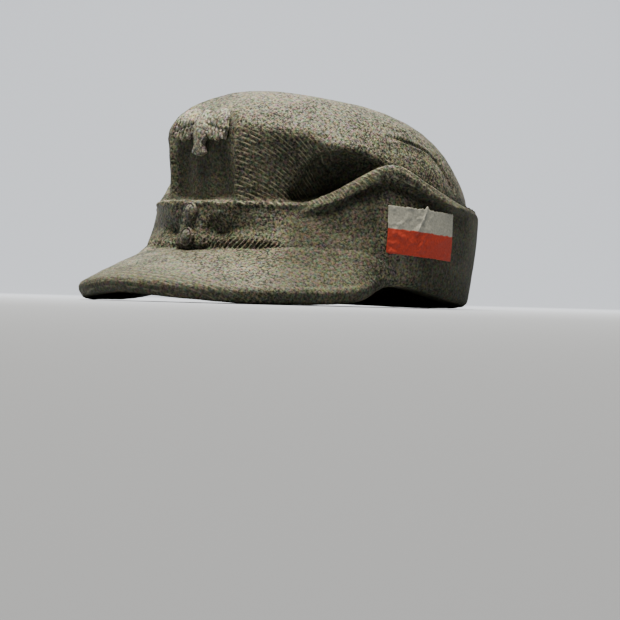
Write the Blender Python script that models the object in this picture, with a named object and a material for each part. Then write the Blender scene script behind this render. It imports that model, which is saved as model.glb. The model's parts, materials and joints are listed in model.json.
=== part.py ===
"""Field cap of a toy figure: one printed body with crown, turned-up flap and peak,
two front buttons, a bird badge, and a flag decal on the wearer's left.

The cap is drawn upright round the head axis (+Z up, peak towards -Y, wearer's left at +X),
with the rim of the band at height zero. At the end it is tipped back until it rests on its
peak and on the back of its rim. Lengths are metres. Azimuths are degrees, measured from the
front towards either side.
"""
import math

import bmesh
import bpy
from mathutils import Matrix, Vector

MM = 0.001

# Hollow for the head
HEAD_RADIUS = 5.20 * MM
HEAD_CLEARANCE = 0.05 * MM
HEAD_DEPTH = 2.30 * MM
STUD_RADIUS = 2.40 * MM
STUD_DEPTH = 1.80 * MM

# Band and turned-up flap
BAND_RADIUS = 6.40 * MM
FLAP_HEIGHT = 5.10 * MM
FLAP_RIDGE = 0.26 * MM
FLAP_SCOOP = 0.17 * MM
FLAP_SPREAD = 0.26 * MM
SPREAD_DEPTH = 0.90 * MM
GROOVE_DEPTH = 0.35 * MM
RIM_CHAMFER = 0.16 * MM
RIM_ARCH = 0.36 * MM
RIM_ARCH_AZIMUTH = 80.0
RIM_ARCH_SPREAD = 22.0

# Crown, set in from the outside of the band
CROWN_HEIGHT = 7.84 * MM
CROWN_FRONT_INSET = 0.10 * MM
CROWN_SIDE_INSET = 0.50 * MM
CROWN_BACK_INSET = 0.52 * MM
CROWN_FRONT = BAND_RADIUS - CROWN_FRONT_INSET
CROWN_SIDE = BAND_RADIUS - CROWN_SIDE_INSET
CROWN_BACK = BAND_RADIUS - CROWN_BACK_INSET
PANEL_HALF_WIDTH = 1.90 * MM
CORNER_FADE = 32.0
SIDE_DENT = 0.95 * MM
SIDE_BULGE = 0.16 * MM

# Peak
PEAK_LENGTH = 10.15 * MM
PEAK_HALF_WIDTH = 6.75 * MM
PEAK_CENTRE = 3.00 * MM
PEAK_DROP = 0.87 * MM
PEAK_EDGE = 0.68 * MM
PEAK_LIP = 0.42 * MM
PEAK_ROOT_HEIGHT = 1.45 * MM
PEAK_CROWNING = 0.10 * MM
PEAK_FULL_AZIMUTH = 62.0
PEAK_END_AZIMUTH = 78.0

# Front buttons
BUTTON_RADIUS = 0.38 * MM
BUTTON_HEIGHT = 0.26 * MM
BUTTON_EDGE = 0.10 * MM
BUTTON_TOP_HEIGHT = 2.72 * MM
BUTTON_SPACING = 0.98 * MM

# Badge on the front panel, its middle below the top of the crown
BADGE_DROP = 1.84 * MM
BADGE_SPAN = 1.55 * MM
BADGE_RELIEF = 0.24 * MM

# Flag decal
FLAG_LENGTH = 3.30 * MM
FLAG_WIDTH = 1.85 * MM
FLAG_THICKNESS = 0.05 * MM
FLAG_HEIGHT = 2.42 * MM
FLAG_AZIMUTH = 87.3
FLAG_TURN = 2.0

# Between the body and each piece seated on it
SEATING_GAP = 0.04 * MM

# Numbers of sides, cuts, columns and rows
BUTTON_SIDES = 24
BADGE_CUTS = 12
FLAG_COLUMNS = 16
FLAG_ROWS = 5
PANEL_COLUMNS = 6
SIDE_COLUMNS = 53

# Azimuth of the crease at each side of the front panel
PANEL_AZIMUTH = math.degrees(math.asin(PANEL_HALF_WIDTH / BAND_RADIUS))

# Top edge of the flap: azimuth, height as a share of FLAP_HEIGHT, depth of the scoop below
# the ridge as a share of FLAP_SCOOP, and how far the corners and the brow of the crown
# push the flap out, as a share of FLAP_SPREAD
FLAP_EDGE = (
    (0.0, 0.622, 0.0, 0.30),
    (17.0, 0.622, 0.0, 1.00),
    (28.0, 0.622, 0.0, 0.50),
    (43.0, 0.641, 0.1, 0.05),
    (53.0, 0.745, 0.6, 0.05),
    (59.5, 0.837, 0.9, 0.25),
    (66.4, 0.931, 1.0, 0.70),
    (72.8, 1.000, 1.0, 0.90),
    (79.0, 0.967, 1.0, 0.65),
    (89.5, 0.878, 0.9, 0.15),
    (102.8, 0.806, 0.5, 0.0),
    (115.8, 0.776, 0.2, 0.0),
    (138.0, 0.757, 0.0, 0.0),
    (180.0, 0.750, 0.0, 0.0),
)

# Outside of the band: height as a share of FLAP_HEIGHT,
# radius at the front and at the back as shares of BAND_RADIUS
BAND_FLARE = (
    (0.00, 1.030, 0.955),
    (0.20, 1.034, 0.974),
    (0.40, 1.028, 0.989),
    (0.60, 1.000, 1.002),
    (0.75, 0.990, 0.998),
    (1.00, 0.975, 0.980),
)

# Outline of the crown: height as a share of CROWN_HEIGHT, reach to the front, side and back
# as shares of CROWN_FRONT, CROWN_SIDE and CROWN_BACK, half width of the flat front panel
# as a share of PANEL_HALF_WIDTH
CROWN_OUTLINE = (
    (0.340, 0.962, 1.015, 1.025, 1.02),
    (0.520, 0.972, 1.000, 1.000, 1.00),
    (0.594, 0.985, 0.992, 0.948, 1.00),
    (0.681, 1.000, 0.966, 0.862, 1.00),
    (0.767, 0.997, 0.915, 0.759, 0.98),
    (0.842, 0.962, 0.839, 0.621, 0.90),
    (0.891, 0.901, 0.746, 0.491, 0.80),
    (0.928, 0.825, 0.644, 0.345, 0.66),
    (0.959, 0.745, 0.508, 0.172, 0.48),
    (0.981, 0.684, 0.339, -0.245, 0.25),
    (0.996, 0.580, 0.120, -0.480, 0.08),
)

# Fold on each side of the crown, which sags over a dent: azimuth, height of its brow
# as a share of CROWN_HEIGHT, depth of the dent and swell of the brow as shares
# of SIDE_DENT and SIDE_BULGE
CROWN_FOLD = (
    (20.0, 0.800, 0.0, 0.0),
    (34.0, 0.785, 0.15, 0.3),
    (46.0, 0.755, 0.60, 0.8),
    (58.0, 0.715, 1.00, 1.0),
    (68.0, 0.680, 0.80, 0.9),
    (79.0, 0.660, 0.15, 0.4),
    (90.0, 0.640, 0.0, 0.0),
)

# Shares of CROWN_HEIGHT: how far under the brow the dent starts and is full,
# and how far over the brow the swell lies and spreads
DENT_START = 0.02
DENT_FULL = 0.15
SWELL_RISE = 0.01
SWELL_SPREAD = 0.05

# Lower edge of the peak: azimuth, height as a share of PEAK_DROP below the rim
PEAK_EDGE_LINE = (
    (0.0, 0.78),
    (14.0, 0.92),
    (30.0, 1.00),
    (44.0, 0.86),
    (56.0, 0.68),
    (64.0, 0.42),
    (72.0, 0.0),
)

# Where the peak meets the band: azimuth, height as a share of PEAK_ROOT_HEIGHT
PEAK_ROOT_LINE = (
    (0.0, 0.86),
    (25.0, 0.93),
    (48.0, 1.00),
    (60.0, 1.03),
    (72.0, 0.88),
    (90.0, 0.80),
    (180.0, 0.80),
)

# Section of the peak's edge from below, as shares of PEAK_LIP in from the outline
# and of PEAK_EDGE up
PEAK_LIP_SECTION = (
    (1.00, 0.00),
    (0.50, 0.05),
    (0.08, 0.40),
    (0.00, 0.65),
    (0.18, 0.88),
)

# Rows over the top of the peak, as shares of the way from its edge to its root,
# and those of the bare rim that stand across from the peak's edge
PEAK_TOP_ROWS = (0.0, 0.25, 0.50, 0.72, 0.88)
RIM_ROWS = (0.0, 0.33, 0.66, 1.0)
WALL_ROWS = (0.30, 0.42)

# Outside of the flap: rows from the peak's root to the scoop as shares of the way,
# the scoop's own rows with their depth, and the ridge in shares of FLAP_RIDGE,
# inwards and up
FLAP_WALL_ROWS = (0.0, 0.34, 0.67, 1.0)
SCOOP_SHARE = 0.40
SCOOP_ROWS = ((0.50, 0.75), (0.85, 1.0))
RIDGE_SECTION = ((0.0, 0.15), (0.0, 0.60), (0.25, 1.0), (0.85, 1.0), (0.88, 0.30))

# Rows of the crown, as shares of the way from the groove to the brow of the fold,
# and from there to the top
CROWN_WALL_ROWS = (0.22, 0.44, 0.63, 0.80, 0.92, 1.0)
CROWN_TOP_ROWS = (0.14, 0.30, 0.45, 0.58, 0.70, 0.80, 0.88, 0.94, 0.98)

# Right half of the badge seen from the front, as shares of BADGE_SPAN: a bird with
# spread wings, from the top of its head round its wing to the end of its tail
BADGE_HALF = (
    (0.00, 0.50),
    (0.09, 0.46),
    (0.12, 0.34),
    (0.28, 0.42),
    (0.50, 0.54),
    (0.74, 0.49),
    (0.92, 0.30),
    (1.00, 0.00),
    (0.92, -0.30),
    (0.76, -0.20),
    (0.66, -0.34),
    (0.53, -0.20),
    (0.41, -0.30),
    (0.30, -0.12),
    (0.20, -0.24),
    (0.14, -0.40),
    (0.24, -0.62),
    (0.00, -0.70),
)


def smooth_step(value, low, high):
    share = min(max((value - low) / (high - low), 0.0), 1.0)
    return share * share * (3.0 - 2.0 * share)


def hump(value, centre, width):
    return math.exp(-((value - centre) / width) ** 2)


def read_table(table, column, place):
    """Value of a column at a place, on a smooth curve that never overshoots the rows."""
    xs = [row[0] for row in table]
    ys = [row[column] for row in table]
    if place <= xs[0]:
        return ys[0]
    if place >= xs[-1]:
        return ys[-1]
    slopes = [(ys[i + 1] - ys[i]) / (xs[i + 1] - xs[i]) for i in range(len(xs) - 1)]
    tangents = [slopes[0]]
    for before, after in zip(slopes, slopes[1:]):
        level = before * after <= 0.0
        tangents.append(0.0 if level else 2.0 * before * after / (before + after))
    tangents.append(slopes[-1])
    row = max(i for i in range(len(xs) - 1) if xs[i] <= place)
    step = xs[row + 1] - xs[row]
    t = (place - xs[row]) / step
    start = (1 + 2 * t) * (1 - t) ** 2 * ys[row] + t * (1 - t) ** 2 * step * tangents[row]
    end = t * t * (3 - 2 * t) * ys[row + 1] + t * t * (t - 1) * step * tangents[row + 1]
    return start + end


def column_azimuths():
    """Azimuths once round, with a column on each crease of the front panel."""
    front = [PANEL_AZIMUTH * i / PANEL_COLUMNS for i in range(PANEL_COLUMNS)]
    step = (180.0 - PANEL_AZIMUTH) / SIDE_COLUMNS
    side = [PANEL_AZIMUTH + step * i for i in range(SIDE_COLUMNS + 1)]
    half = front + side
    return half + [-azimuth for azimuth in reversed(half[1:-1])]


def place(radius, azimuth, height):
    angle = math.radians(azimuth)
    return Vector((radius * math.sin(angle), -radius * math.cos(angle), height))


def flap_edge_height(azimuth):
    return FLAP_HEIGHT * read_table(FLAP_EDGE, 1, abs(azimuth))


def band_radius(azimuth, height):
    share = height / FLAP_HEIGHT
    frontness = (1.0 + math.cos(math.radians(azimuth))) / 2.0
    front = read_table(BAND_FLARE, 1, share)
    back = read_table(BAND_FLARE, 2, share)
    edge = flap_edge_height(azimuth)
    spread = read_table(FLAP_EDGE, 3, abs(azimuth)) * smooth_step(height, edge - SPREAD_DEPTH, edge)
    return BAND_RADIUS * (front * frontness + back * (1.0 - frontness)) + FLAP_SPREAD * spread


def rim_height(azimuth):
    return RIM_ARCH * hump(abs(azimuth), RIM_ARCH_AZIMUTH, RIM_ARCH_SPREAD)


def crown_point(azimuth, height):
    """Point of the crown's skin, with its flat front panel and its dented sides."""
    share = height / CROWN_HEIGHT
    front = CROWN_FRONT * read_table(CROWN_OUTLINE, 1, share)
    side = CROWN_SIDE * read_table(CROWN_OUTLINE, 2, share)
    back = CROWN_BACK * read_table(CROWN_OUTLINE, 3, share)
    panel = PANEL_HALF_WIDTH * read_table(CROWN_OUTLINE, 4, share)
    turn = abs(azimuth)
    if turn <= PANEL_AZIMUTH:
        return Vector((panel * azimuth / PANEL_AZIMUTH, -front, height))
    middle = (back - front) / 2.0
    half_length = (back + front) / 2.0
    angle = math.radians(turn)
    corner_angle = math.radians(PANEL_AZIMUTH)
    x = side * math.sin(angle)
    y = middle - half_length * math.cos(angle)
    fade = (1.0 - min((turn - PANEL_AZIMUTH) / CORNER_FADE, 1.0)) ** 2
    x += fade * (panel - side * math.sin(corner_angle))
    y += fade * (half_length * math.cos(corner_angle) - front - middle)
    brow = read_table(CROWN_FOLD, 1, turn)
    hollowed = smooth_step(brow - share, DENT_START, DENT_FULL)
    dent = SIDE_DENT * read_table(CROWN_FOLD, 2, turn) * hollowed
    swollen = hump(share, brow + SWELL_RISE, SWELL_SPREAD)
    swell = SIDE_BULGE * read_table(CROWN_FOLD, 3, turn) * swollen
    outward = Vector((x, y, 0.0)).normalized() * (swell - dent)
    return Vector((math.copysign(x + outward.x, azimuth), y + outward.y, height))


def peak_outline(azimuth):
    """Distance of the peak's edge from the head axis, on an ellipse set forward."""
    angle = math.radians(azimuth)
    length = PEAK_LENGTH - PEAK_CENTRE
    a = (math.sin(angle) / PEAK_HALF_WIDTH) ** 2 + (math.cos(angle) / length) ** 2
    b = -2.0 * PEAK_CENTRE * math.cos(angle) / length ** 2
    c = (PEAK_CENTRE / length) ** 2 - 1.0
    return (-b + math.sqrt(b * b - 4.0 * a * c)) / (2.0 * a)


def peak_low_height(azimuth):
    return -PEAK_DROP * read_table(PEAK_EDGE_LINE, 1, abs(azimuth))


def peak_root_height(azimuth):
    return PEAK_ROOT_HEIGHT * read_table(PEAK_ROOT_LINE, 1, abs(azimuth))


def inner_section(azimuth):
    """Head hollow from the roof of the stud socket down to the rim, as (radius, height)."""
    hollow = HEAD_RADIUS + HEAD_CLEARANCE
    socket = STUD_RADIUS + HEAD_CLEARANCE
    return [
        (socket, HEAD_DEPTH + STUD_DEPTH),
        (socket, HEAD_DEPTH),
        (hollow, HEAD_DEPTH),
        (hollow, rim_height(azimuth) + RIM_CHAMFER),
    ]


def lower_section(azimuth):
    """From under the rim, out round the peak where there is one, to the peak's root."""
    inside = HEAD_RADIUS + HEAD_CLEARANCE + RIM_CHAMFER
    rim = rim_height(azimuth)
    root = peak_root_height(azimuth)
    wall = band_radius(azimuth, rim)
    root_radius = band_radius(azimuth, root)
    reach = peak_outline(azimuth)
    low = peak_low_height(azimuth)
    top = low + PEAK_EDGE
    peak = [
        (inside, rim),
        ((inside + reach - PEAK_LIP) / 2.0, (rim + low) / 2.0),
    ]
    for inwards, up in PEAK_LIP_SECTION:
        peak.append((reach - inwards * PEAK_LIP, low + up * PEAK_EDGE))
    plain = [(inside + share * (wall - RIM_CHAMFER - inside), rim) for share in RIM_ROWS]
    plain.append((wall, rim + RIM_CHAMFER))
    for share in WALL_ROWS:
        height = rim + share * (root - rim)
        plain.append((band_radius(azimuth, height), height))
    shoulder = reach - PEAK_LIP / 2.0
    middle = (rim + root) / 2.0
    for share in PEAK_TOP_ROWS:
        arc = PEAK_CROWNING * math.sin(math.pi * share)
        radius = shoulder + share * (root_radius - shoulder)
        peak.append((radius, top + share * (root - top) + arc))
        height = middle + share * (root - middle)
        plain.append((band_radius(azimuth, height), height))
    presence = 1.0 - smooth_step(abs(azimuth), PEAK_FULL_AZIMUTH, PEAK_END_AZIMUTH)
    return [
        tuple(presence * p + (1.0 - presence) * q for p, q in zip(on_peak, on_band))
        for on_peak, on_band in zip(peak, plain)
    ]


def band_section(azimuth):
    """From the peak's root up the flap and over its ridge."""
    root = peak_root_height(azimuth)
    edge = flap_edge_height(azimuth)
    scoop = FLAP_SCOOP * read_table(FLAP_EDGE, 2, abs(azimuth))
    ridge_low = edge - FLAP_RIDGE
    scoop_low = ridge_low - SCOOP_SHARE * (ridge_low - root)
    section = []
    for share in FLAP_WALL_ROWS:
        height = root + share * (scoop_low - root)
        section.append((band_radius(azimuth, height), height))
    for share, depth in SCOOP_ROWS:
        height = scoop_low + share * (ridge_low - scoop_low)
        section.append((band_radius(azimuth, height) - depth * scoop, height))
    outer = band_radius(azimuth, edge)
    for inwards, up in RIDGE_SECTION:
        section.append((outer - inwards * FLAP_RIDGE, ridge_low + up * FLAP_RIDGE))
    return section


def crown_section(azimuth):
    """From the groove behind the flap up to the last ring below the top."""
    groove = flap_edge_height(azimuth) - GROOVE_DEPTH
    brow = CROWN_HEIGHT * read_table(CROWN_FOLD, 1, abs(azimuth))
    heights = [groove]
    heights += [groove + share * (brow - groove) for share in CROWN_WALL_ROWS]
    heights += [brow + share * (CROWN_HEIGHT - brow) for share in CROWN_TOP_ROWS]
    return [crown_point(azimuth, height) for height in heights]


def cap_column(azimuth):
    turned = inner_section(azimuth) + lower_section(azimuth) + band_section(azimuth)
    return [place(r, azimuth, z) for r, z in turned] + crown_section(azimuth)


def standing_matrix(columns):
    """Tips the cap back onto its peak and the heel of its rim, and centres its length."""
    heel = place(band_radius(180.0, 0.0) - RIM_CHAMFER, 180.0, 0.0)
    points = [point for column in columns for point in column]
    front = [point for point in points if point.y < 0.0]
    slope = max((heel.z - point.z) / (heel.y - point.y) for point in front)
    tipped = Matrix.Rotation(-math.atan(slope), 4, "X")
    stood = [tipped @ point for point in points]
    lowest = min(point.z for point in stood)
    middle = (min(point.y for point in stood) + max(point.y for point in stood)) / 2.0
    return Matrix.Translation((0.0, -middle, -lowest)) @ tipped


def make_material(name, colour, roughness):
    material = bpy.data.materials.new(name)
    material.use_nodes = True
    shader = material.node_tree.nodes["Principled BSDF"]
    shader.inputs["Base Color"].default_value = (*colour, 1.0)
    shader.inputs["Roughness"].default_value = roughness
    shader.inputs["Metallic"].default_value = 0.0
    return material


def add_object(name, bm, material, sharp_angle, stand):
    bmesh.ops.recalc_face_normals(bm, faces=bm.faces)
    bm.transform(stand)
    mesh = bpy.data.meshes.new(name)
    bm.to_mesh(mesh)
    bm.free()
    mesh.materials.append(material)
    mesh.shade_smooth()
    mesh.set_sharp_from_angle(angle=math.radians(sharp_angle))
    obj = bpy.data.objects.new(name, mesh)
    bpy.context.scene.collection.objects.link(obj)
    return obj


def make_cap(points, material, stand):
    """The printed body: one closed skin, a column of points at each azimuth."""
    bm = bmesh.new()
    columns = [[bm.verts.new(point) for point in column] for column in points]
    roof = bm.verts.new((0.0, 0.0, HEAD_DEPTH + STUD_DEPTH))
    last_ring = [column[-1].co for column in columns]
    middle = sum(last_ring, Vector()) / len(last_ring)
    top = bm.verts.new((0.0, middle.y, CROWN_HEIGHT))
    for index, column in enumerate(columns):
        after = columns[(index + 1) % len(columns)]
        bm.faces.new((roof, column[0], after[0]))
        bm.faces.new((top, after[-1], column[-1]))
        for row in range(len(column) - 1):
            bm.faces.new((column[row], column[row + 1], after[row + 1], after[row]))
    return add_object("cap", bm, material, 40.0, stand)


def make_button(name, height, material, stand):
    """Turned button with a rounded edge, standing off the front of the band."""
    bm = bmesh.new()
    bmesh.ops.create_cone(
        bm, cap_ends=True, segments=BUTTON_SIDES, depth=BUTTON_HEIGHT,
        radius1=BUTTON_RADIUS, radius2=BUTTON_RADIUS,
    )
    rim = [e for e in bm.edges if all(v.co.z > 0.0 for v in e.verts)]
    bmesh.ops.bevel(
        bm, geom=rim, offset=BUTTON_EDGE, offset_type="OFFSET", segments=3,
        profile=0.5, affect="EDGES", material=-1,
    )
    seat = max(band_radius(0.0, height - BUTTON_RADIUS), band_radius(0.0, height + BUTTON_RADIUS))
    middle = Vector((0.0, -seat - SEATING_GAP - BUTTON_HEIGHT / 2.0, height))
    bm.transform(Matrix.Translation(middle) @ Matrix.Rotation(math.pi / 2.0, 4, "X"))
    return add_object(name, bm, material, 50.0, stand)


def make_badge(material, stand):
    """Relief cut to the outline of a bird, whose back follows the front panel."""
    middle = CROWN_HEIGHT - BADGE_DROP
    right = [(x * BADGE_SPAN, middle + z * BADGE_SPAN) for x, z in BADGE_HALF]
    left = [(-x, z) for x, z in reversed(right[1:-1])]
    bm = bmesh.new()
    face = bm.faces.new([bm.verts.new((x, 0.0, z)) for x, z in right + left])
    raised = bmesh.ops.extrude_face_region(bm, geom=[face])["geom"]
    for item in raised:
        if isinstance(item, bmesh.types.BMVert):
            item.co.y = -BADGE_RELIEF
    lowest = min(z for _, z in right)
    highest = max(z for _, z in right)
    for cut in range(1, BADGE_CUTS):
        level = lowest + (highest - lowest) * cut / BADGE_CUTS
        everything = bm.verts[:] + bm.edges[:] + bm.faces[:]
        bmesh.ops.bisect_plane(
            bm, geom=everything, dist=1e-7, plane_co=(0.0, 0.0, level), plane_no=(0.0, 0.0, 1.0)
        )
    for vert in bm.verts:
        vert.co.y += crown_point(0.0, vert.co.z).y - SEATING_GAP
    bmesh.ops.triangulate(bm, faces=[f for f in bm.faces if len(f.verts) > 4])
    return add_object("badge", bm, material, 30.0, stand)


def make_flag(material, stand):
    """Thin decal wrapped on the band."""
    spread = math.degrees(FLAG_LENGTH / BAND_RADIUS)
    rise = FLAG_LENGTH * math.tan(math.radians(FLAG_TURN))
    bm = bmesh.new()
    sheets = []
    for lift in (SEATING_GAP, SEATING_GAP + FLAG_THICKNESS):
        grid = []
        for i in range(FLAG_COLUMNS + 1):
            azimuth = FLAG_AZIMUTH + spread * (i / FLAG_COLUMNS - 0.5)
            middle = FLAG_HEIGHT + rise * (i / FLAG_COLUMNS - 0.5)
            column = []
            for j in range(FLAG_ROWS + 1):
                height = middle + FLAG_WIDTH * (j / FLAG_ROWS - 0.5)
                radius = band_radius(azimuth, height) + lift
                column.append(bm.verts.new(place(radius, azimuth, height)))
            grid.append(column)
        sheets.append(grid)
    for grid in sheets:
        for i in range(FLAG_COLUMNS):
            for j in range(FLAG_ROWS):
                bm.faces.new((grid[i][j], grid[i + 1][j], grid[i + 1][j + 1], grid[i][j + 1]))
    inner, outer = sheets
    border = [(i, 0) for i in range(FLAG_COLUMNS)]
    border += [(FLAG_COLUMNS, j) for j in range(FLAG_ROWS)]
    border += [(i, FLAG_ROWS) for i in range(FLAG_COLUMNS, 0, -1)]
    border += [(0, j) for j in range(FLAG_ROWS, 0, -1)]
    for (i, j), (k, m) in zip(border, border[1:] + border[:1]):
        bm.faces.new((inner[i][j], inner[k][m], outer[k][m], outer[i][j]))
    return add_object("flag_decal", bm, material, 40.0, stand)


def main():
    for obj in list(bpy.data.objects):
        bpy.data.objects.remove(obj)
    columns = [cap_column(azimuth) for azimuth in column_azimuths()]
    stand = standing_matrix(columns)
    make_cap(columns, make_material("printed_resin", (0.072, 0.070, 0.052), 0.55), stand)
    button_resin = make_material("button_resin", (0.075, 0.072, 0.054), 0.50)
    make_button("button_upper", BUTTON_TOP_HEIGHT, button_resin, stand)
    make_button("button_lower", BUTTON_TOP_HEIGHT - BUTTON_SPACING, button_resin, stand)
    make_badge(make_material("badge_resin", (0.085, 0.082, 0.062), 0.50), stand)
    make_flag(make_material("decal", (0.62, 0.60, 0.54), 0.40), stand)


main()
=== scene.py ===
import json
import math

import bmesh
import bpy
import numpy as np
from mathutils import Matrix, Vector, noise


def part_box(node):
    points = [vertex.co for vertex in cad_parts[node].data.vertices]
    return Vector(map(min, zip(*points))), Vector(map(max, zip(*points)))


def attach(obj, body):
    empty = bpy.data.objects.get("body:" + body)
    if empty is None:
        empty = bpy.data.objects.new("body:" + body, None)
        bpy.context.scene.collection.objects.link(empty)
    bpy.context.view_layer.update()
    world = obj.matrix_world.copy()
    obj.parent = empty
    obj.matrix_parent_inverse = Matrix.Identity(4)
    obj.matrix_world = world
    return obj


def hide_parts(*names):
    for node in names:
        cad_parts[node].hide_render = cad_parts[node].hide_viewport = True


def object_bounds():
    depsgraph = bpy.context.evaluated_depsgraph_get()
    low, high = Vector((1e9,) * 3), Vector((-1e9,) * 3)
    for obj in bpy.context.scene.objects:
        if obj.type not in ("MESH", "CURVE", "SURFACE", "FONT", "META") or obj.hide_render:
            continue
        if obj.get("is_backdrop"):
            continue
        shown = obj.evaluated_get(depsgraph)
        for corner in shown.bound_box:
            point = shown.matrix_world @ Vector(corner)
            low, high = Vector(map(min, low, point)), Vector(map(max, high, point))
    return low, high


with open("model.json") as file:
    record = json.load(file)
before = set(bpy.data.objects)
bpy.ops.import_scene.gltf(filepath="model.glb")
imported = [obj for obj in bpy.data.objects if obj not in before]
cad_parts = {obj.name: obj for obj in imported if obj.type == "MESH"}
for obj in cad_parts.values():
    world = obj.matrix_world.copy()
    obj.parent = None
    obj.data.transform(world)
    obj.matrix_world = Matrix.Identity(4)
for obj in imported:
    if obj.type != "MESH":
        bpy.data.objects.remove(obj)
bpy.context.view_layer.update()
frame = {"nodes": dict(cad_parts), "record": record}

# Blank of the printed body
# The cap is one piece of dark field-grey resin, grown in thin layers. Its solid is laid over
# with a fine even skin here, in millimetres, which the next sections work like clay.
MM = 0.001
BODY_GRAIN = 0.050
BODY_SOFTENING = 5


def solid_in_mm(node_name):
    """A loose copy of a CAD solid in millimetres, its corners joined."""
    loose = bmesh.new()
    loose.from_mesh(frame["nodes"][node_name].data)
    bmesh.ops.scale(loose, vec=Vector((1.0, 1.0, 1.0)) / MM, verts=loose.verts)
    bmesh.ops.remove_doubles(loose, verts=loose.verts, dist=0.001)
    return loose


def fine_skin(node_name, grain, softening):
    """Mesh of that solid with faces of one small size, softened so many times."""
    loose = solid_in_mm(node_name)
    mesh = bpy.data.meshes.new("blank")
    loose.to_mesh(mesh)
    loose.free()
    blank = bpy.data.objects.new("blank", mesh)
    bpy.context.scene.collection.objects.link(blank)
    skin = blank.modifiers.new("skin", "REMESH")
    skin.mode = "VOXEL"
    skin.voxel_size = grain
    soften = blank.modifiers.new("soften", "SMOOTH")
    soften.factor = 0.5
    soften.iterations = softening
    ready = blank.evaluated_get(bpy.context.evaluated_depsgraph_get())
    skinned = bpy.data.meshes.new_from_object(ready)
    bpy.data.objects.remove(blank)
    return skinned


def read_points(values, field):
    """Places or normals of a mesh's vertices, one row each."""
    rows = np.empty(len(values) * 3)
    values.foreach_get(field, rows)
    return rows.reshape(-1, 3)


body = fine_skin("cap", BODY_GRAIN, BODY_SOFTENING)
places = read_points(body.vertices, "co")
outwards = read_points(body.vertex_normals, "vector")

# The cap leans back on its peak, so work is measured upright round the head axis:
# turn in degrees from the front to either side, height and reach in millimetres.
head_axis = -Vector(frame["record"]["mounts"][0]["axis"])
LEAN = math.atan2(head_axis.y, head_axis.z)
AXIS_BACK = 1.765
RIM_RISE = 0.384


def upright(points):
    """Turn, height and reach of points, with the turn negative on the wearer's right."""
    back = points[:, 1] - AXIS_BACK
    up = points[:, 2] - RIM_RISE
    y = back * math.cos(LEAN) - up * math.sin(LEAN)
    z = back * math.sin(LEAN) + up * math.cos(LEAN)
    return np.degrees(np.arctan2(points[:, 0], -y)), z, np.hypot(points[:, 0], y)


def ramp(value, low, high):
    """Nought below low, one above high, and a soft way between."""
    share = np.clip((value - low) / (high - low), 0.0, 1.0)
    return share * share * (3.0 - 2.0 * share)


def fall(value, low, high):
    """One below low, nought above high, and a soft way between."""
    return 1.0 - ramp(value, low, high)


signed_turn, height, reach = upright(places)
turn = np.abs(signed_turn)
sideways = np.abs(places[:, 0])

# Height of the flap's edge, and of the line where the wall comes down on the peak or the rim
# turn, edge of the flap, foot of the wall
WALL_LINES = (
    (0.0, 3.17, 1.22),
    (28.0, 3.17, 1.34),
    (43.0, 3.27, 1.42),
    (53.0, 3.80, 1.47),
    (59.5, 4.27, 1.49),
    (66.4, 4.75, 1.20),
    (72.8, 5.10, 0.80),
    (79.0, 4.93, 0.50),
    (89.5, 4.48, 0.42),
    (102.8, 4.11, 0.32),
    (115.8, 3.96, 0.18),
    (138.0, 3.86, 0.14),
    (180.0, 3.83, 0.14),
)
HOLLOW_TOP = 2.36
HOLLOW_WALL = 5.36
SOCKET_TOP = 4.20
SOCKET_WALL = 2.62


def line_height(table, column, at):
    """Height there on a line that a column of a table draws."""
    return np.interp(at, [row[0] for row in table], [row[column] for row in table])


def inside_cap(heights, reaches, slack=0.0):
    """Whether points are on the hollow for the head or its stud, less the slack at the walls."""
    in_hollow = (heights < HOLLOW_TOP) & (reaches < HOLLOW_WALL - slack)
    in_socket = (heights < SOCKET_TOP) & (reaches < SOCKET_WALL - slack)
    return in_hollow | in_socket


flap_edge = line_height(WALL_LINES, 1, turn)
foot = line_height(WALL_LINES, 2, turn)
on_crown = ramp(height, flap_edge, flap_edge + 0.22)
on_wall = fall(height, flap_edge - 0.12, flap_edge) * ramp(height, foot, foot + 0.15)
on_wall = on_wall * ramp(reach, 5.5, 5.8)
push = np.zeros(len(places))

# Crown
# The crown is printed as cloth would lie: a flat front panel with a crease at each side, a
# sagging fold over a deep hollow on each side, and a seam round the back of the top.
# width of one degree of turn on the wall
DEGREE = 0.11
CREASE_TURN = 17.3
CREASE_RISE = 0.055
PANEL_DISH = 0.20
SIDE_LEAN = 0.12
OTHER_SIDE_LEAN = 0.35
HOLLOW_DEPTH = 0.40
BROW_RISE = 0.05


def swell(value, middle, width):
    """A round rise to one at the middle."""
    return np.exp(-(((value - middle) / width) ** 2))


def zone(value, start, full, fading, end):
    """One from full to fading, nought before start and after end."""
    return ramp(value, start, full) * fall(value, fading, end)


crease = swell((turn - CREASE_TURN) * DEGREE, 0.0, 0.11) * zone(height, 3.2, 3.5, 6.4, 6.9)
push += CREASE_RISE * crease
push -= PANEL_DISH * swell(turn, 11.5, 4.5) * swell(height, 3.5, 1.15) * on_crown
side_zone = zone(turn, 20.0, 26.0, 38.0, 50.0) * fall(height, 5.9, 6.5)
side_zone = side_zone * np.where(signed_turn > 0.0, 1.0, OTHER_SIDE_LEAN)
push += SIDE_LEAN * np.clip((height - 4.7) / 1.2, -1.0, 1.0) * side_zone * on_crown

# turn, height of the brow of the fold
BROW = (
    (30.0, 5.30),
    (41.6, 5.24),
    (50.5, 5.40),
    (55.8, 5.50),
    (61.5, 5.44),
    (67.6, 5.26),
    (74.0, 5.12),
)
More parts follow.
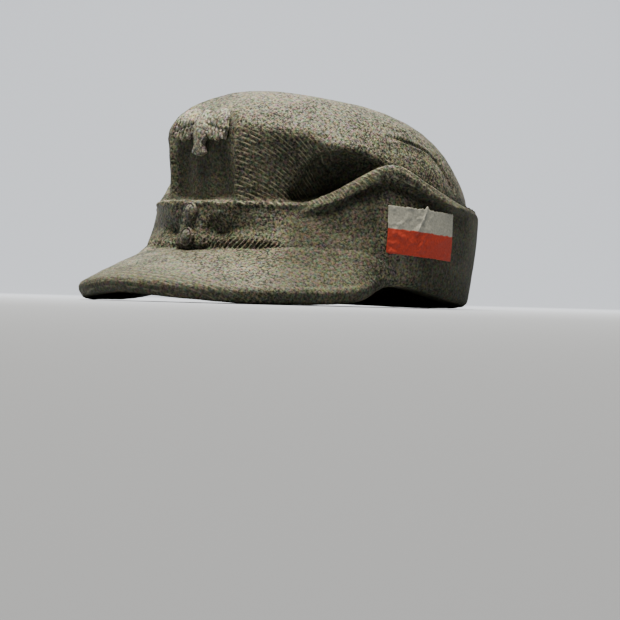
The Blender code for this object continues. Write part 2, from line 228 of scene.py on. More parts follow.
# height, turn where the hollow starts
HOLLOW_FRONT = ((3.2, 34.5), (3.8, 36.2), (4.5, 39.0), (5.2, 44.0))
brow = line_height(BROW, 1, turn)
hollow_front = line_height(HOLLOW_FRONT, 1, height)
under_brow = ramp(brow - height, 0.0, 0.34)
behind_front = ramp((turn - hollow_front) * DEGREE, -0.10, 0.70)
hollow_end = fall(turn, 66.0, 75.0)
side_hollow = under_brow * behind_front * hollow_end
push -= HOLLOW_DEPTH * side_hollow * on_crown
over_hollow = ramp(turn, 36.0, 50.0) * hollow_end
push += BROW_RISE * swell(height, brow + 0.16, 0.20) * over_hollow * on_crown

# Lines drawn on the crown: turn and height of each mark
SEAM = (
    (75.6, 6.10),
    (81.4, 6.10),
    (87.2, 6.02),
    (93.7, 5.90),
    (99.0, 5.77),
    (103.5, 5.58),
    (107.2, 5.28),
    (110.2, 4.88),
    (112.0, 4.40),
)
SEAM_TICK = ((74.0, 6.59), (79.0, 6.51), (81.5, 6.41), (87.6, 6.49))
SEAM_VALLEY = ((102.3, 5.66), (105.5, 5.45), (109.0, 5.05), (113.0, 4.60))
CORNER_WRINKLES = (
    ((17.5, 6.74), (21.0, 6.86), (26.0, 6.92)),
    ((19.0, 6.45), (24.0, 6.52), (31.0, 6.62)),
    ((34.0, 5.98), (42.0, 5.92), (49.0, 5.84)),
)
SEAM_GROOVE = 0.070
SEAM_WELT = 0.030
TICK_GROOVE = 0.026
VALLEY_DEPTH = 0.090
WRINKLE_DEPTH = 0.022
INNER_REACH = 4.5
FAR = 1000.0


def nearest_place(at_turn, at_height):
    """Point of the body's outside there, on the wearer's left."""
    off = ((signed_turn - at_turn) * DEGREE) ** 2 + (height - at_height) ** 2
    off = np.where(reach > INNER_REACH, off, FAR)
    return places[int(np.argmin(off))]


def distance_to(path):
    """How far each vertex is from a line drawn on the body, the same on both sides."""
    marks = [nearest_place(*mark) for mark in path]
    points = np.column_stack((sideways, places[:, 1], places[:, 2]))
    nearest = np.full(len(points), FAR)
    for start, end in zip(marks, marks[1:]):
        way = end - start
        share = np.clip((points - start) @ way / (way @ way), 0.0, 1.0)
        off = np.linalg.norm(points - start - share[:, None] * way, axis=1)
        nearest = np.minimum(nearest, off)
    return nearest


seam = distance_to(SEAM)
seam_ends = ramp(turn, 74.0, 84.0) * ramp(height, 4.3, 4.9)
seam_form = SEAM_WELT * swell(seam, 0.15, 0.07) - SEAM_GROOVE * swell(seam, 0.0, 0.060)
push += seam_form * seam_ends * on_crown
push -= TICK_GROOVE * swell(distance_to(SEAM_TICK), 0.0, 0.055) * on_crown
push -= VALLEY_DEPTH * swell(distance_to(SEAM_VALLEY), 0.0, 0.30) * on_crown
for wrinkle in CORNER_WRINKLES:
    push -= WRINKLE_DEPTH * swell(distance_to(wrinkle), 0.0, 0.09) * on_crown

# Flap
# The flap is the turned-up wall of the band, closed in front by a narrow tab that carries the
# buttons. The cloth dips beside the tab and along the middle, and is gathered above the peak.
TAB_HALF_WIDTH = 0.86
TAB_RISE = 0.07
TAB_GROOVE = 0.07
TAB_FOOT_GROOVE = 0.10
DIP_OUT = 1.36
DIP_HEIGHT = 2.05
DIP_DEPTH = 0.36
DIP_LIP = 0.05
CHANNEL_HEIGHT = 2.12
CHANNEL_DEPTH = 0.08
CORNER_REACH = 6.56
CORNER_FILL = 0.17


def lumps(points, size, seed):
    """Soft random swell from about minus one to one, with lumps of that size."""
    start = Vector((7.3, 3.1, 5.7)) * seed
    return np.array([noise.noise(Vector(point) / size + start) for point in points])


front = turn < 60.0
front_wall = front * on_wall
tab = fall(sideways, TAB_HALF_WIDTH - 0.10, TAB_HALF_WIDTH + 0.06)
push += TAB_RISE * tab * front_wall * ramp(height, 1.30, 1.45)
tab_side = swell(sideways, TAB_HALF_WIDTH + 0.10, 0.09)
push -= TAB_GROOVE * tab_side * front_wall * ramp(height, 1.3, 1.5)
tab_foot = swell(height, foot + 0.10, 0.06) * fall(sideways, 0.9, 1.1)
push -= TAB_FOOT_GROOVE * tab_foot * front * ramp(reach, 6.2, 6.4)
dip = swell(sideways, DIP_OUT, 0.50) * swell(height, DIP_HEIGHT, 0.27)
push -= DIP_DEPTH * dip * front_wall
push += DIP_LIP * swell(sideways, 1.5, 0.45) * swell(height, 2.72, 0.20) * front_wall
channel = swell(height, CHANNEL_HEIGHT, 0.26) * zone(turn, 13.0, 18.0, 24.0, 40.0)
push -= CHANNEL_DEPTH * channel * on_wall
from_corner = ((height - foot) / 0.55) ** 2 + ((reach - CORNER_REACH) / 0.45) ** 2
push += CORNER_FILL * np.exp(-from_corner) * zone(turn, 24.0, 40.0, 64.0, 76.0)

# Short slanted gathers along the foot of the flap
GATHER_PITCH = 0.21
GATHER_DEPTH = 0.130
GATHER_HEIGHT = 1.56
slant = np.radians(turn) * 6.5 - 0.75 * (height - 1.5) + 0.10 * lumps(places, 0.6, 4)
gather = np.abs((slant / GATHER_PITCH) % 1.0 - 0.5) * 2.0
gather_zone = zone(turn, 5.0, 9.0, 30.0, 42.0) * swell(height, GATHER_HEIGHT, 0.24)
push += GATHER_DEPTH * (gather - 0.40) * gather_zone * ramp(reach, 6.0, 6.2)

# Edge of the flap: a beaded lip in front, a broad ridge where it rises, round at the back
EDGE_BEAD = 0.070
RIDGE_RISE = 0.24
RIDGE_BELOW_EDGE = 0.37
BACK_ROUNDING = 0.14
APEX_TURN = 72.8
APEX_SINK = 0.09
below_edge = flap_edge - height
at_edge = swell(height, flap_edge - 0.08, 0.11) * ramp(reach, 6.0, 6.15)
ridge_zone = zone(turn, 38.0, 54.0, 104.0, 118.0)
edge_lumps = 1.0 + 0.9 * lumps(places, 0.16, 7)
bead_zone = (1.0 - 0.8 * ridge_zone) * fall(turn, 96.0, 112.0)
push += EDGE_BEAD * at_edge * edge_lumps * bead_zone
ridge_lumps = 1.0 + 0.3 * lumps(places, 0.2, 7)
ridge = swell(below_edge, RIDGE_BELOW_EDGE, 0.15) * ridge_zone
push += RIDGE_RISE * ridge * ridge_lumps * on_wall
at_back = ramp(reach, 5.9, 6.2) * ramp(turn, 92.0, 112.0)
push -= BACK_ROUNDING * ramp(height, flap_edge - 0.34, flap_edge) * at_back
apex = swell(turn, APEX_TURN, 3.2) * ramp(height, flap_edge - 0.6, flap_edge - 0.1)
apex_sink = APEX_SINK * apex * ramp(reach, 5.5, 5.9)

# The dark crescent below the ridge
# turn, how far below the edge the crescent ends
CRESCENT_FOOT = (
    (50.0, 0.50),
    (62.0, 0.90),
    (72.0, 1.10),
    (82.0, 1.05),
    (93.0, 0.80),
    (104.0, 0.50),
)
CRESCENT_DEPTH = 0.27
crescent_foot = line_height(CRESCENT_FOOT, 1, turn)
crescent = ramp(below_edge, 0.44, 0.56) * fall(below_edge - crescent_foot, -0.45, 0.0)
push -= CRESCENT_DEPTH * crescent * zone(turn, 50.0, 60.0, 98.0, 106.0) * on_wall

# Layers of the print
# The print grew in layers on a tilted plate. Their edges show as fine steps on the crown's
# sides, on the ends of the fold and on the tip of the peak, where the skin is smoother.
LAYER = 0.170
LAYER_BEND = 0.103
PLAIN_STEP = 0.0015
SIDE_STEP = 0.030
FOLD_STEP = 0.026
HOLLOW_SHARE = 0.3
BROAD_LUMPS = 0.016
SMALL_LUMPS = 0.007

layer_rise = Vector((0.0, 0.42, 0.91)).normalized()
bend = LAYER_BEND * (DEGREE * np.clip(turn - CREASE_TURN, 0.0, 40.0)) ** 2
layer_place = (places @ np.array(layer_rise) + bend) / LAYER
step = 1.0 - layer_place % 1.0
crown_side = zone(turn, 15.0, 19.0, 44.0, 56.0) * fall(height, 5.6, 6.3) * on_crown
upper_fold_end = swell(turn, 72.0, 4.0) * swell(height, 5.26, 0.28)
lower_fold_end = swell(turn, 78.0, 4.5) * swell(height, 4.58, 0.26)
fold_ends = upper_fold_end + lower_fold_end
depth = PLAIN_STEP + SIDE_STEP * crown_side + FOLD_STEP * fold_ends
depth = depth * (0.75 + 0.5 * lumps(places, 0.9, 3))
push += np.where(inside_cap(height, reach), HOLLOW_SHARE, 1.0) * depth * (step - 0.5)
push += BROAD_LUMPS * lumps(places, 1.2, 1) + SMALL_LUMPS * lumps(places, 0.42, 2)

places = places + outwards * push[:, None]
places[:, 2] -= apex_sink
places[:, 2] = np.maximum(places[:, 2], 0.0)
body.vertices.foreach_set("co", (places * MM).ravel())
body.update()
final_normals = read_points(body.vertex_normals, "vector")


def mark_body(name, kind, values):
    """Keep a value for each vertex of the body under that name."""
    body.attributes.new(name, kind, "POINT").data.foreach_set("value", values)


# Where the speckle is strong and lit: less on the sides behind, the tip of the peak, the front
# panel, the hollows and the crown's sides, where the resin is darkened as painted shade
behind = ramp(turn, 74.0, 92.0) * (1.0 - on_crown) * fall(reach, 6.9, 7.3)
panel = fall(turn, 13.0, 18.0) * on_crown * fall(height, 6.2, 6.8)
# Low values mark painted shade: the resin's tone is pulled darker there
lit_speckle = (1.0 - behind) * fall(reach, 8.2, 10.0) * (1.0 - panel)
lit_speckle = lit_speckle * (1.0 - 0.8 * side_hollow) * (1.0 - 0.55 * crown_side)

# Where the top edges of the layers get a painted highlight
peak_tip = ramp(reach, 8.2, 9.8) * fall(height, 1.2, 1.6)
lit_edge_highlight = at_edge * zone(turn, 8.0, 20.0, 84.0, 104.0)
ridge_highlight = swell(below_edge, 0.22, 0.18) * ridge_zone * fall(turn, 84.0, 104.0)
ridge_highlight = ridge_highlight * ramp(reach, 5.9, 6.1)
# Painted highlight: a lighter colour on the layer edges, the flap's edge and the ridge, for the
# light they catch
highlighted_layers = crown_side + fold_ends + 0.5 * peak_tip + 0.9 * lit_edge_highlight + 0.7 * ridge_highlight

mark_body("lit_speckle", "FLOAT", lit_speckle)
mark_body("layer_highlight", "FLOAT", np.clip(highlighted_layers, 0.0, 1.0))
mark_body("layer_place", "FLOAT", layer_place)
mark_body("number", "INT", np.arange(len(places), dtype=np.int32))

# Printed resin
# Dark olive-grey resin with a dull gloss. Its grain shows as a fine speckle of warm and cool
# specks. The edges of the layers get a painted highlight, and where the lit speckle is low it
# gets painted shade.
MIX_FACTOR, MIX_FIRST, MIX_SECOND, MIX_RESULT = 0, 6, 7, 2
SPECK_BUMP = 0.08 * MM
# Darker tone and lower contrast that the resin takes as painted shade where the lit speckle is
# low
PAINTED_SHADE_TONE = 0.438
PAINTED_SHADE_CONTRAST = 0.35
DULL_ROUGHER = 0.25
# How much lighter the painted highlight on the layer edges is
HIGHLIGHT_LIGHTER = 2.1
SPECKS_TO_MM = 10.0
HUES_TO_MM = 7.0
DASHES_TO_MM = 4.2
CLOUDS_TO_MM = 0.8
CLOUD_SHARE = 0.3
HUE_SHARE = 0.55
SHINE_VARIES = 0.14
DARK_BELOW, LIGHT_ABOVE = 0.40, 0.63


def node(tree, kind, **settings):
    """A shader node of that kind with its settings."""
    made = tree.nodes.new(kind)
    for name, value in settings.items():
        setattr(made, name, value)
    return made


def feed(tree, socket, value):
    """Give a socket a number or colour, or join it to another node's output."""
    if isinstance(value, bpy.types.NodeSocket):
        tree.links.new(value, socket)
    else:
        socket.default_value = value


def arithmetic(tree, operation, *values):
    """Result of a Math node on outputs or plain numbers."""
    made = node(tree, "ShaderNodeMath", operation=operation)
    for socket, value in zip(made.inputs, values):
        feed(tree, socket, value)
    return made.outputs[0]


def millimetres(tree):
    """Place on the piece, in millimetres."""
    where = node(tree, "ShaderNodeTexCoord")
    in_mm = node(tree, "ShaderNodeMapping", vector_type="POINT")
    in_mm.inputs["Scale"].default_value = (1.0 / MM, 1.0 / MM, 1.0 / MM)
    tree.links.new(where.outputs["Object"], in_mm.inputs["Vector"])
    return in_mm.outputs["Vector"]


def specks(tree, place, fineness, detail, roughness=0.5):
    """Noise at a place, with so many specks to the millimetre."""
    made = node(tree, "ShaderNodeTexNoise")
    made.inputs["Scale"].default_value = fineness
    made.inputs["Detail"].default_value = detail
    made.inputs["Roughness"].default_value = roughness
    tree.links.new(place, made.inputs["Vector"])
    return made


def spread(tree, value, low, high, to_low=0.0, to_high=1.0, way="LINEAR"):
    """A value that goes from to_low to to_high while another goes from low to high."""
    made = node(tree, "ShaderNodeMapRange", interpolation_type=way)
    made.inputs["From Min"].default_value = low
    made.inputs["From Max"].default_value = high
    made.inputs["To Min"].default_value = to_low
    made.inputs["To Max"].default_value = to_high
    tree.links.new(value, made.inputs["Value"])
    return made.outputs["Result"]


def mixed(tree, factor, first, second, way="MIX"):
    """Two colours mixed, or multiplied, by a factor."""
    made = node(tree, "ShaderNodeMix", data_type="RGBA", blend_type=way)
    feed(tree, made.inputs[MIX_FACTOR], factor)
    feed(tree, made.inputs[MIX_FIRST], first)
    feed(tree, made.inputs[MIX_SECOND], second)
    return made.outputs[MIX_RESULT]


def vertex_value(tree, name):
    """What the body's vertices keep under that name."""
    return node(tree, "ShaderNodeAttribute", attribute_name=name).outputs["Fac"]


def bumped(tree, strength, distance, rise):
    """Normal of a surface roughened by a pattern."""
    made = node(tree, "ShaderNodeBump")
    made.inputs["Strength"].default_value = strength
    made.inputs["Distance"].default_value = distance
    tree.links.new(rise, made.inputs["Height"])
    return made.outputs["Normal"]


def resin(name, dark, light, roughness, of_body=False):
    """Speckled resin from a dark to a light colour. The body's own has painted highlight and
    shade.
    """
    material = bpy.data.materials.new(name)
    material.use_nodes = True
    tree = material.node_tree
    shader = tree.nodes["Principled BSDF"].inputs
    place = millimetres(tree)

    grain = specks(tree, place, SPECKS_TO_MM, 3.0, 0.65).outputs["Fac"]
    cloud = specks(tree, place, CLOUDS_TO_MM, 4.0).outputs["Fac"]
    clouded = arithmetic(tree, "MULTIPLY_ADD", cloud, CLOUD_SHARE, -CLOUD_SHARE / 2.0)
    amount = arithmetic(tree, "ADD", grain, clouded)
    smooth, rough = roughness - SHINE_VARIES, roughness + SHINE_VARIES
    shine = spread(tree, grain, 0.35, 0.65, smooth, rough)
    if of_body:
        # Painted shade: where the lit speckle is low, the tone is pulled down to a darker one
        # with less contrast
        unshaded = vertex_value(tree, "lit_speckle")
        contrast = arithmetic(tree, "MULTIPLY_ADD", unshaded, 1.0 - PAINTED_SHADE_CONTRAST, PAINTED_SHADE_CONTRAST)
        from_shade_tone = arithmetic(tree, "ADD", amount, -PAINTED_SHADE_TONE)
        amount = arithmetic(tree, "MULTIPLY_ADD", from_shade_tone, contrast, PAINTED_SHADE_TONE)
        rougher = arithmetic(tree, "MULTIPLY_ADD", unshaded, -DULL_ROUGHER, DULL_ROUGHER)
        shine = arithmetic(tree, "ADD", shine, rougher)
    tone = node(tree, "ShaderNodeValToRGB")
    tone.color_ramp.elements[0].position = DARK_BELOW
    tone.color_ramp.elements[0].color = (*dark, 1.0)
    tone.color_ramp.elements[1].position = LIGHT_ABOVE
    tone.color_ramp.elements[1].color = (*light, 1.0)
    tree.links.new(amount, tone.inputs["Fac"])

    hues = node(tree, "ShaderNodeHueSaturation")
    hues.inputs["Saturation"].default_value = 0.9
    hues.inputs["Value"].default_value = 1.9
    tree.links.new(specks(tree, place, HUES_TO_MM, 1.0).outputs["Color"], hues.inputs["Color"])
    hue = hues.outputs["Color"]
    colour = mixed(tree, HUE_SHARE, tone.outputs["Color"], hue, "MULTIPLY")
    if of_body:
        edges = arithmetic(tree, "PINGPONG", vertex_value(tree, "layer_place"), 0.5)
        thin = spread(tree, edges, 0.28, 0.50, 0.0, 0.75, "SMOOTHSTEP")
        patches = specks(tree, place, DASHES_TO_MM, 2.0).outputs["Fac"]
        dashes = spread(tree, patches, 0.42, 0.60)
        dashed = arithmetic(tree, "MULTIPLY", thin, dashes)
        highlit_lines = arithmetic(tree, "MULTIPLY", dashed, vertex_value(tree, "layer_highlight"))
        # Painted highlight on the top edges of the layers
        highlight_colour = (*[HIGHLIGHT_LIGHTER * part for part in light], 1.0)
        colour = mixed(tree, highlit_lines, colour, highlight_colour)

    tree.links.new(colour, shader["Base Color"])
    tree.links.new(shine, shader["Roughness"])
    tree.links.new(bumped(tree, 1.0, SPECK_BUMP, grain), shader["Normal"])
    tree.links.new(spread(tree, amount, 0.40, 0.64, 0.05, 0.68), shader["Specular IOR Level"])
    warm = mixed(tree, 1.0, hue, (1.0, 0.92, 0.74, 1.0), "MULTIPLY")
    tree.links.new(warm, shader["Specular Tint"])
    return material


printed_resin = resin(
    "printed_resin", (0.018, 0.0208, 0.0155), (0.120, 0.113, 0.076), 0.56, of_body=True
)

# Pieces of the body
# The one print is kept as five meshes that meet without a gap: the side and the top of the
# crown, the turned-up wall with its ridge, the peak with the rim, and the hollow for the head.
BODY_PIECES = ("crown_side", "crown_top", "flap", "peak", "head_hollow")
CROWN_SIDE, CROWN_TOP, FLAP, PEAK, HEAD_HOLLOW = range(len(BODY_PIECES))
TOP_FOOT = 5.9
BEHIND_FLAP = 6.02

centres = np.empty(len(body.polygons) * 3)
body.polygons.foreach_get("center", centres)
face_turn, face_height, face_reach = upright(centres.reshape(-1, 3) / MM)
face_turn = np.abs(face_turn)
face_edge = line_height(WALL_LINES, 1, face_turn)
behind_flap = (face_height > face_edge - 0.45) & (face_reach < BEHIND_FLAP)
region = np.where(face_height > line_height(WALL_LINES, 2, face_turn), FLAP, PEAK)
crown_region = np.where(face_height > TOP_FOOT, CROWN_TOP, CROWN_SIDE)
region = np.where((face_height > face_edge + 0.06) | behind_flap, crown_region, region)
region = np.where(inside_cap(face_height, face_reach, slack=0.02), HEAD_HOLLOW, region)
for index, name in enumerate(BODY_PIECES):
    cut = bmesh.new()
    cut.from_mesh(body)
    others = [face for face, place in zip(cut.faces, region) if place != index]
    bmesh.ops.delete(cut, geom=others, context="FACES")
    mesh = bpy.data.meshes.new(name)
    cut.to_mesh(mesh)
    cut.free()
    numbers = np.empty(len(mesh.vertices), dtype=np.int32)
    mesh.attributes["number"].data.foreach_get("value", numbers)
    mesh.attributes.remove(mesh.attributes["number"])
    mesh.shade_smooth()
    mesh.normals_split_custom_set_from_vertices(final_normals[numbers].tolist())
    mesh.materials.append(printed_resin)
    piece = bpy.data.objects.new(name, mesh)
    bpy.context.scene.collection.objects.link(piece)
    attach(piece, "root")
    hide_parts("cap")
bpy.data.meshes.remove(body)

# Buttons
# Two small round buttons of the same resin close the flap. Each is a low dome inside a thin
# rim, with a fine groove between.
button_resin = resin("button_resin", (0.040, 0.040, 0.032), (0.105, 0.102, 0.078), 0.42)
# share of the radius, share of the depth out from the back
BUTTON_SECTION = (
    (0.00, 1.00),
    (0.25, 0.98),
    (0.50, 0.88),
    (0.68, 0.70),
    (0.76, 0.58),
    (0.83, 0.58),
    (0.90, 0.68),
    (0.97, 0.62),
    (1.00, 0.45),
    (1.00, 0.05),
    (0.00, 0.05),
)
BUTTON_STEPS = 64
for name in ("button_upper", "button_lower"):
    low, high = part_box(name)
    middle = (low + high) / 2.0
    radius = (high.x - low.x) / 2.0
    thickness = (high.y - low.y) - (high.z - low.z) * math.tan(LEAN) * 0.5
    turned = bmesh.new()
    section = [
        turned.verts.new((share * radius, 0.0, out * thickness)) for share, out in BUTTON_SECTION
    ]
    lines = [turned.edges.new(pair) for pair in zip(section, section[1:])]
    bmesh.ops.spin(
        turned,
        geom=section + lines,
        cent=(0.0, 0.0, 0.0),
        axis=(0.0, 0.0, 1.0),
        angle=math.tau,
        steps=BUTTON_STEPS,
        use_merge=True,
    )
    bmesh.ops.remove_doubles(turned, verts=turned.verts, dist=0.002 * MM)
    bmesh.ops.recalc_face_normals(turned, faces=turned.faces)
    facing = Matrix.Rotation(math.pi / 2.0, 4, "X")
    tipped = Matrix.Rotation(-LEAN, 4, "X")
    seat = Matrix.Translation(middle + (tipped @ Vector((0.0, thickness / 2.0, 0.0))))
    bmesh.ops.transform(turned, matrix=seat @ tipped @ facing, verts=turned.verts)
    mesh = bpy.data.meshes.new(name + "_turned")
    turned.to_mesh(mesh)
    turned.free()
    mesh.shade_smooth()
    mesh.materials.append(button_resin)
    button = bpy.data.objects.new(name + "_turned", mesh)
    bpy.context.scene.collection.objects.link(button)
    rounding = button.modifiers.new("rounding", "SUBSURF")
    rounding.levels = 2
    rounding.render_levels = 2
    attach(button, "root")
    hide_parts(name)

# Badge
# A plain bird with spread wings stands out of the front panel, printed with the cap. Its body is
# domed, its wings carry feathers, and its colour is lighter than the cap's as a painted
# highlight.
# The badge's lighter resin is a painted highlight for the light on its raised parts
badge_resin = resin("badge_resin", (0.070, 0.069, 0.055), (0.270, 0.258, 0.195), 0.42)
BADGE_GRAIN = 0.03
BADGE_SOFTENING = 3
WING_JOINT_ABOVE_MIDDLE = 0.1
BODY_DOME = 0.13
WING_LIFT = 0.07
FEATHER_PITCH = 0.20
FEATHER_GROOVE = 0.10
SHAFT_GROOVE = 0.06
WORN_LUMPS = 0.03
WORN_PITS = 0.015

bird = fine_skin("badge", BADGE_GRAIN, BADGE_SOFTENING)
bird.name = "badge_bird"
points = read_points(bird.vertices, "co")
normals = read_points(bird.vertex_normals, "vector")
badge_low, badge_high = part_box("badge")
wing_joint = (badge_low.z + badge_high.z) / 2.0 / MM + WING_JOINT_ABOVE_MIDDLE
wide = np.abs(points[:, 0])
tall = points[:, 2] - wing_joint
body_dome = swell(wide, 0.0, 0.20) * swell(tall, -0.05, 0.60)
wing_lift = swell(wide, 0.85, 0.45) * swell(tall, 0.45, 0.35)
slots = np.abs(((wide + 0.35 * tall) / FEATHER_PITCH) % 1.0 - 0.5) * 2.0
feathers = swell(slots, 0.0, 0.35) * ramp(wide, 0.28, 0.40) * fall(tall, 0.10, 0.45)
shaft = swell(tall - 0.30 + 0.25 * wide, 0.0, 0.05) * ramp(wide, 0.25, 0.4)
rise = BODY_DOME * body_dome + WING_LIFT * wing_lift
rise -= FEATHER_GROOVE * feathers + SHAFT_GROOVE * shaft
rise += WORN_LUMPS * lumps(points, 0.35, 5) + WORN_PITS * lumps(points, 0.15, 6)
points[:, 1] -= rise * ramp(-normals[:, 1], 0.1, 0.5)
bird.vertices.foreach_set("co", (points * MM).ravel())
bird.update()
bird.shade_smooth()
bird.materials.append(badge_resin)
badge = bpy.data.objects.new("badge_bird", bird)
bpy.context.scene.collection.objects.link(badge)
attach(badge, "root")
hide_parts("badge")

# Flag decal
# A printed film with a white and a red stripe is stuck on the wearer's left. It is a little
# wrinkled, and its upper edge is frayed.
STRIPE_WHITE = (0.28, 0.277, 0.232)
STRIPE_RED = (0.32, 0.033, 0.017)
FILM_CUTS = 10
FILM_RAISED = 0.09
FILM_TURNED = 0.045
FOLD_TOP_TURN = 88.6
FOLD_SLANT = 4.6
FOLD_RISE = 0.060
CRUMPLE_RISE = 0.055
FOLD_WIDTH = 0.035
FRAY = 0.08
FRAY_AT_FOLD = 0.15
FOOT_WAVER = 0.03

film = solid_in_mm("flag_decal")
bmesh.ops.subdivide_edges(film, edges=film.edges, cuts=FILM_CUTS, use_grid_fill=True)
film_mesh = bpy.data.meshes.new("flag_film")
film.to_mesh(film_mesh)
film.free()
points = read_points(film_mesh.vertices, "co")
film_turn, film_height = upright(points)[:2]
flag_low, flag_high = film_height.min(), film_height.max()
fold_turn = FOLD_TOP_TURN - FOLD_SLANT * (flag_high - film_height)
fold = np.exp(-np.abs(film_turn - fold_turn) * DEGREE / FOLD_WIDTH)
fold = fold * ramp(film_height, flag_low + 0.7, flag_high - 0.6)
crumple = np.abs(lumps(points, 0.34, 8)) * 1.5 - 0.25 + 0.4 * lumps(points, 0.13, 11)
crumple_zone = fall(film_turn, 84.0, 94.0)
crumple = np.maximum(crumple, 0.0) * (0.3 + 0.7 * crumple_zone)
points[:, 0] += FOLD_RISE * fold + CRUMPLE_RISE * crumple
points[:, 2] += FILM_RAISED - FILM_TURNED * (points[:, 1] - points[:, 1].mean())
fray = FRAY * lumps(points, 0.12, 9) * (0.35 + 0.65 * crumple_zone)
fray = fray + FRAY_AT_FOLD * swell(film_turn, FOLD_TOP_TURN, 0.9)
points[:, 2] += fray * ramp(film_height, flag_high - 0.20, flag_high - 0.02)
at_foot = fall(film_height, flag_low + 0.02, flag_low + 0.15)
points[:, 2] += FOOT_WAVER * lumps(points, 0.14, 10) * at_foot
film_mesh.vertices.foreach_set("co", (points * MM).ravel())
film_mesh.update()
film_mesh.shade_smooth()

# The stripes meet on a line that follows the turned film and wavers a little
STRIPE_SLOPE = 0.079
STRIPE_ABOVE_MIDDLE = 0.185 * MM
STRIPE_WAVER = 0.10 * MM
STRIPE_BLUR = 0.015 * MM
FILM_BUMP = 0.03 * MM
stripe_material = bpy.data.materials.new("decal")
stripe_material.use_nodes = True
tree = stripe_material.node_tree
shader = tree.nodes["Principled BSDF"].inputs
place = millimetres(tree)
where = node(tree, "ShaderNodeTexCoord")
split = node(tree, "ShaderNodeSeparateXYZ")
tree.links.new(where.outputs["Object"], split.inputs["Vector"])
across, up = split.outputs["Y"], split.outputs["Z"]
level = arithmetic(tree, "MULTIPLY_ADD", across, STRIPE_SLOPE, up)
wander = specks(tree, place, 5.0, 3.0).outputs["Fac"]
wavering = arithmetic(tree, "MULTIPLY_ADD", wander, STRIPE_WAVER, level)
flag_box_low, flag_box_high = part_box("flag_decal")
flag_middle = (flag_box_low + flag_box_high) / 2.0
boundary = flag_middle.z + flag_middle.y * STRIPE_SLOPE + STRIPE_ABOVE_MIDDLE
is_white = spread(tree, wavering, boundary - STRIPE_BLUR, boundary + STRIPE_BLUR)
stripes = mixed(tree, is_white, (*STRIPE_RED, 1.0), (*STRIPE_WHITE, 1.0))
flecks = specks(tree, place, 14.0, 2.0).outputs["Fac"]
flecked = spread(tree, flecks, 0.3, 0.7, 0.72, 1.12)
printed = mixed(tree, 0.8, stripes, flecked, "MULTIPLY")
tree.links.new(printed, shader["Base Color"])
shader["Roughness"].default_value = 0.55
shader["Specular IOR Level"].default_value = 0.2
tree.links.new(bumped(tree, 0.35, FILM_BUMP, flecks), shader["Normal"])
film_mesh.materials.append(stripe_material)
flag = bpy.data.objects.new("flag_film", film_mesh)
bpy.context.scene.collection.objects.link(flag)
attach(flag, "root")
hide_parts("flag_decal")

# Studio
# A pale floor that rises into a backdrop, one soft light above the cap and a little in front,
# one aimed at the backdrop, and a camera near the floor, ahead and to the wearer's left.
FLOOR_REACH = 0.30
BACKDROP_HEIGHT = 0.30
BACKDROP_DISTANCE = 0.16
BEND_RADIUS = 0.08
BEND_STEPS = 12
PAPER = (0.200, 0.215, 0.245, 1.0)
CAMERA_TURN = math.radians(48.0)
CAMERA_RISE = math.radians(0.2)
CAMERA_ROLL = math.radians(1.54)
CAMERA_DISTANCE = 0.150
PICTURE_WIDTH = 24.8 * MM
SENSOR_WIDTH = 36.0
AIM = Vector((-0.00005, 0.00171, -0.00018))

# distance behind the cap as seen from the camera, height
sweep = [(-FLOOR_REACH, 0.0), (BACKDROP_DISTANCE, 0.0)]
for step_number in range(1, BEND_STEPS + 1):
    angle = math.radians(90.0 * step_number / BEND_STEPS)
    sweep.append((
        BACKDROP_DISTANCE + BEND_RADIUS * math.sin(angle),
        BEND_RADIUS * (1.0 - math.cos(angle)),
    ))
sweep.append((BACKDROP_DISTANCE + BEND_RADIUS, BACKDROP_HEIGHT))
ground = bmesh.new()
sweep_verts = [ground.verts.new((-FLOOR_REACH, distance, rise)) for distance, rise in sweep]
sweep_edges = [ground.edges.new(pair) for pair in zip(sweep_verts, sweep_verts[1:])]
swept = bmesh.ops.extrude_edge_only(ground, edges=sweep_edges)
moved = [item for item in swept["geom"] if isinstance(item, bmesh.types.BMVert)]
bmesh.ops.translate(ground, vec=(2.0 * FLOOR_REACH, 0.0, 0.0), verts=moved)
to_camera = Matrix.Rotation(CAMERA_TURN, 3, "Z")
bmesh.ops.rotate(ground, cent=(0.0, 0.0, 0.0), matrix=to_camera, verts=ground.verts)
bmesh.ops.recalc_face_normals(ground, faces=ground.faces)
floor_mesh = bpy.data.meshes.new("floor")
ground.to_mesh(floor_mesh)
ground.free()
floor_mesh.shade_smooth()
paper = bpy.data.materials.new("paper")
paper.use_nodes = True
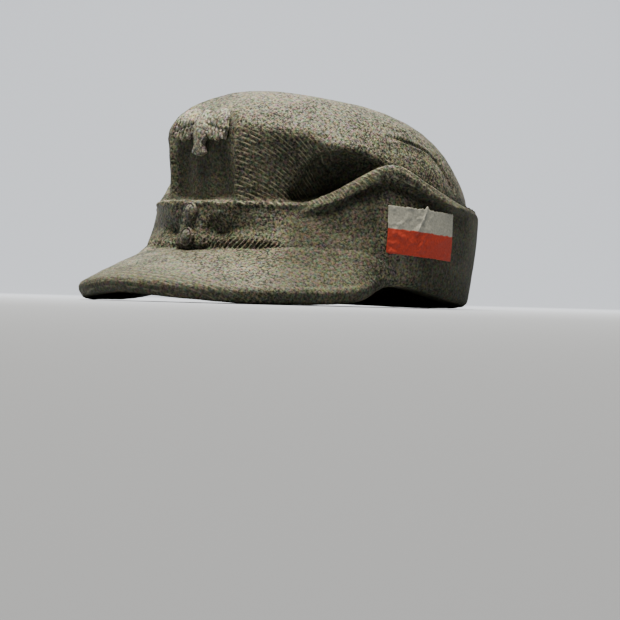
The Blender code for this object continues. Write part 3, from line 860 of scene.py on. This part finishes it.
paper.node_tree.nodes["Principled BSDF"].inputs["Base Color"].default_value = PAPER
paper.node_tree.nodes["Principled BSDF"].inputs["Roughness"].default_value = 0.9
floor_mesh.materials.append(paper)
floor = bpy.data.objects.new("floor", floor_mesh)
bpy.context.scene.collection.objects.link(floor)
floor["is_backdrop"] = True


def soft_light(name, place, aim, size, watts, colour):
    """A square area light at a place, turned to shine at aim."""
    data = bpy.data.lights.new(name, "AREA")
    data.size = size
    data.energy = watts
    data.color = colour
    lamp = bpy.data.objects.new(name, data)
    lamp.location = place
    lamp.rotation_euler = (Vector(aim) - Vector(place)).to_track_quat("-Z", "Y").to_euler()
    bpy.context.scene.collection.objects.link(lamp)


soft_light(
    "key",
    place=(0.006, -0.034, 0.196),
    aim=(0.0, 0.0, 0.0),
    size=0.10,
    watts=1.7,
    colour=(1.0, 0.94, 0.82),
)
soft_light(
    "backdrop",
    place=(-0.045, 0.040, 0.16),
    aim=(-0.178, 0.160, 0.01),
    size=0.10,
    watts=1.4,
    colour=(1.0, 0.98, 0.94),
)

world = bpy.data.worlds.new("room")
world.use_nodes = True
world.node_tree.nodes["Background"].inputs["Color"].default_value = (0.95, 0.96, 1.0, 1.0)
world.node_tree.nodes["Background"].inputs["Strength"].default_value = 0.03
bpy.context.scene.world = world

camera_data = bpy.data.cameras.new("camera")
camera_data.sensor_width = SENSOR_WIDTH
camera_data.lens = SENSOR_WIDTH * CAMERA_DISTANCE / PICTURE_WIDTH
camera_data.clip_start = 0.001
camera = bpy.data.objects.new("camera", camera_data)
back = Vector((
    math.sin(CAMERA_TURN) * math.cos(CAMERA_RISE),
    -math.cos(CAMERA_TURN) * math.cos(CAMERA_RISE),
    math.sin(CAMERA_RISE),
))
camera.location = AIM + back * CAMERA_DISTANCE
look = (-back).to_track_quat("-Z", "Y").to_matrix()
camera.rotation_euler = (look @ Matrix.Rotation(CAMERA_ROLL, 3, "Z")).to_euler()
bpy.context.scene.collection.objects.link(camera)
bpy.context.scene.camera = camera

low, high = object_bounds()
